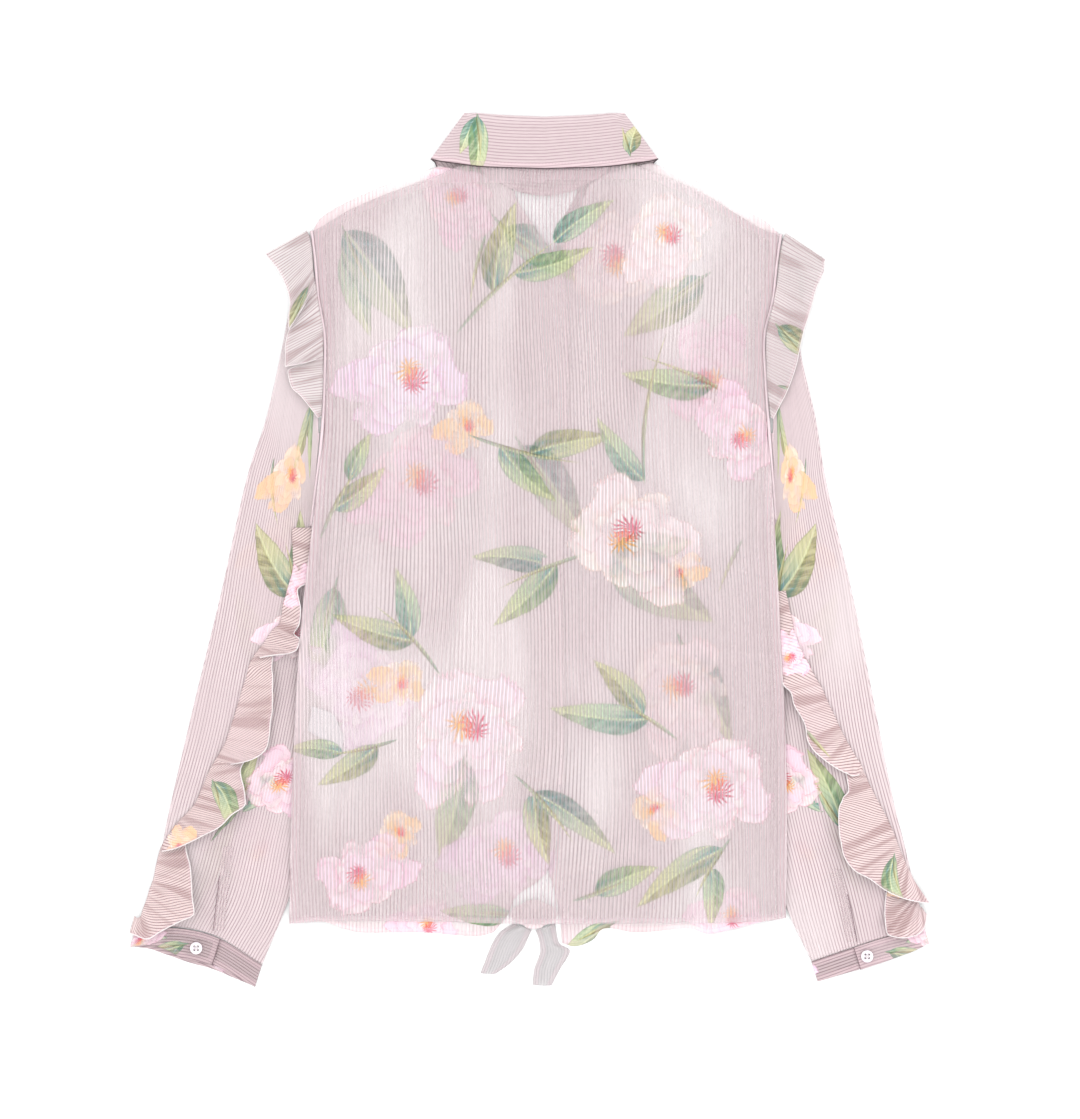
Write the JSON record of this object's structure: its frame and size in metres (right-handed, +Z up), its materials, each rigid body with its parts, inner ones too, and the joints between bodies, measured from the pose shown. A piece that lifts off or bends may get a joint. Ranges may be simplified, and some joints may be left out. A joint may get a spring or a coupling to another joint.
{
  "type": "ruffled chiffon blouse, laid flat, back up",
  "caption": "Sheer long-sleeved blouse lying flat, back up: turned-down collar, shoulder and sleeve ruffles, buttoned cuffs and a hem tie.",
  "frame": {"origin": "middle of the whole blouse's outline, on the surface that it lies on", "axes": "+X across the body towards the wearer's right, +Y from the hem to the collar, +Z up off the surface, out of the back"},
  "size_m": [0.6878, 0.7512, 0.0142],
  "materials": {
    "chiffon": "sheer fine-striped printed chiffon, pale pink, matt with a slight sheen",
    "ruffle_chiffon": "the same chiffon across the grain, with pale rolled hems",
    "collar_chiffon": "the same chiffon in several layers, nearly opaque",
    "button": "semi-gloss, pale pink pearl",
    "label": "smooth white satin tape, blank"
  },
  "bodies": {
    "root": {"back": "chiffon", "front_left": "chiffon", "front_right": "chiffon", "sleeve_left": "chiffon", "sleeve_right": "chiffon", "sleeve_ruffle_left": "ruffle_chiffon", "sleeve_ruffle_right": "ruffle_chiffon", "shoulder_ruffle_left": "ruffle_chiffon", "shoulder_ruffle_right": "ruffle_chiffon", "sleeve_placket_left": "chiffon", "sleeve_placket_right": "chiffon", "collar_fall": "collar_chiffon", "collar_stand": "collar_chiffon", "cuff_left": "chiffon", "cuff_right": "chiffon", "tie_left": "chiffon", "tie_right": "chiffon", "tie_knot": "chiffon", "cuff_button_left": "button", "cuff_button_right": "button", "care_label": "label"}
  },
  "joints": []
}
